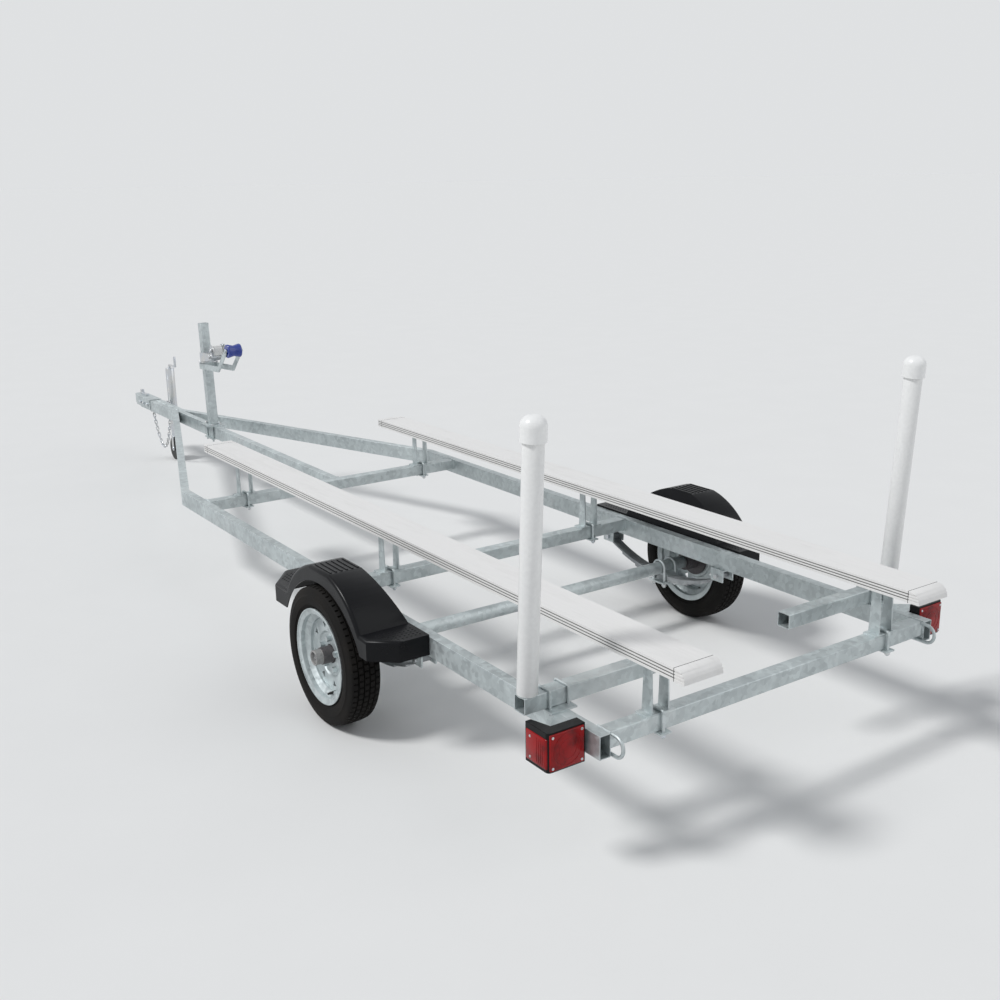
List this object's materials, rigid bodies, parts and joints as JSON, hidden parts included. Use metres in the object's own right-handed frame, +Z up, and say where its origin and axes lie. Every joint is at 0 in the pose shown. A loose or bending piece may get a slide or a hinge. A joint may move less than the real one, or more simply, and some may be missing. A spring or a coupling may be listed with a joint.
{
  "type": "boat trailer",
  "caption": "Single-axle galvanised boat trailer with bunks, guide posts, winch post, bow roller, leaf springs, lights and a swivel jack, to carry a small boat.",
  "frame": {"origin": "on the floor, under the middle of the trailer's overall box", "axes": "+X to starboard, +Y forward to the coupler, +Z up"},
  "size_m": [1.856, 6.0908, 1.2434],
  "materials": {
    "galvanised": "dull spangled zinc coating",
    "zinc": "bright plated steel",
    "bunk_vinyl": "smooth off-white",
    "pipe": "ivory plastic pipe",
    "pipe_cap": "white moulded cap",
    "fender_plastic": "black moulded",
    "tyre": "matt rubber",
    "hub_paint": "black",
    "spring_steel": "dark",
    "lamp_black": "black moulded",
    "lamp_red": "clear red",
    "strap": "woven webbing",
    "roller_blue": "blue polyurethane",
    "grip_black": "moulded",
    "jack_wheel_black": "moulded"
  },
  "bodies": {
    "trailer": {"rail_left": "galvanised", "bunk_left": "bunk_vinyl", "bunk_brackets_left": "galvanised", "guide_arm_left": "galvanised", "guide_post_left": "pipe", "guide_cap_left": "pipe_cap", "leaf_spring_left": "spring_steel", "fender_left": "fender_plastic", "rail_right": "galvanised", "bunk_right": "bunk_vinyl", "bunk_brackets_right": "galvanised", "guide_arm_right": "galvanised", "guide_post_right": "pipe", "guide_cap_right": "pipe_cap", "leaf_spring_right": "spring_steel", "fender_right": "fender_plastic", "tongue_tube": "galvanised", "crossmember_rear": "galvanised", "crossmember_middle": "galvanised", "crossmember_front": "galvanised", "axle": "galvanised", "spring_mounts": "galvanised", "coupler": "galvanised", "coupler_latch": "zinc", "winch_post": "galvanised", "winch_frame": "zinc", "roller_bracket": "galvanised", "jack_mount": "zinc", "tail_light_housings": "lamp_black", "tail_light_lenses": "lamp_red", "light_brackets": "galvanised", "tie_down_loops": "galvanised", "safety_chain": "zinc", "chain_staples": "zinc"},
    "wheel_left": {"tyre_left": "tyre", "rim_left": "galvanised", "hub_left": "hub_paint"},
    "wheel_right": {"tyre_right": "tyre", "rim_right": "galvanised", "hub_right": "hub_paint"},
    "winch_drum_body": {"winch_drum": "zinc", "winch_strap": "strap"},
    "winch_crank": {"winch_handle": "zinc", "winch_grip": "grip_black"},
    "bow_roller_body": {"bow_roller": "roller_blue"},
    "jack": {"jack_tube": "zinc", "jack_crank": "zinc"},
    "jack_leg_body": {"jack_leg": "zinc"},
    "jack_wheel_body": {"jack_wheel": "jack_wheel_black"}
  },
  "joints": [
    {"name": "wheel_left_spin", "type": "hinge", "parent": "trailer", "child": "wheel_left", "pos_m": [-0.853, -1.6314, 0.248], "axis": [1, 0, 0], "continuous": true},
    {"name": "wheel_right_spin", "type": "hinge", "parent": "trailer", "child": "wheel_right", "pos_m": [0.853, -1.6314, 0.248], "axis": [1, 0, 0], "continuous": true},
    {"name": "winch_drum_spin", "type": "hinge", "parent": "trailer", "child": "winch_drum_body", "pos_m": [0, 1.48456, 0.8718], "axis": [1, 0, 0], "continuous": true},
    {"name": "winch_crank_spin", "type": "hinge", "parent": "trailer", "child": "winch_crank", "pos_m": [0, 1.51353, 0.83335], "axis": [1, 0, 0], "continuous": true},
    {"name": "bow_roller_spin", "type": "hinge", "parent": "trailer", "child": "bow_roller_body", "pos_m": [0, 1.23059, 0.89813], "axis": [1, 0, 0], "continuous": true},
    {"name": "jack_swivel", "type": "hinge", "parent": "trailer", "child": "jack", "pos_m": [0.0845, 2.5986, 0.367], "axis": [1, 0, 0], "range_deg": [0, 90]},
    {"name": "jack_leg_slide", "type": "slide", "parent": "jack", "child": "jack_leg_body", "axis": [0, 0, 1], "range_m": [-0.11, 0.125]},
    {"name": "jack_wheel_spin", "type": "hinge", "parent": "jack_leg_body", "child": "jack_wheel_body", "pos_m": [0.0845, 2.5986, 0.076], "axis": [1, 0, 0], "continuous": true}
  ],
  "couplings": [
    {"joint": "winch_crank_spin", "follows": "winch_drum_spin", "ratio": -3}
  ]
}
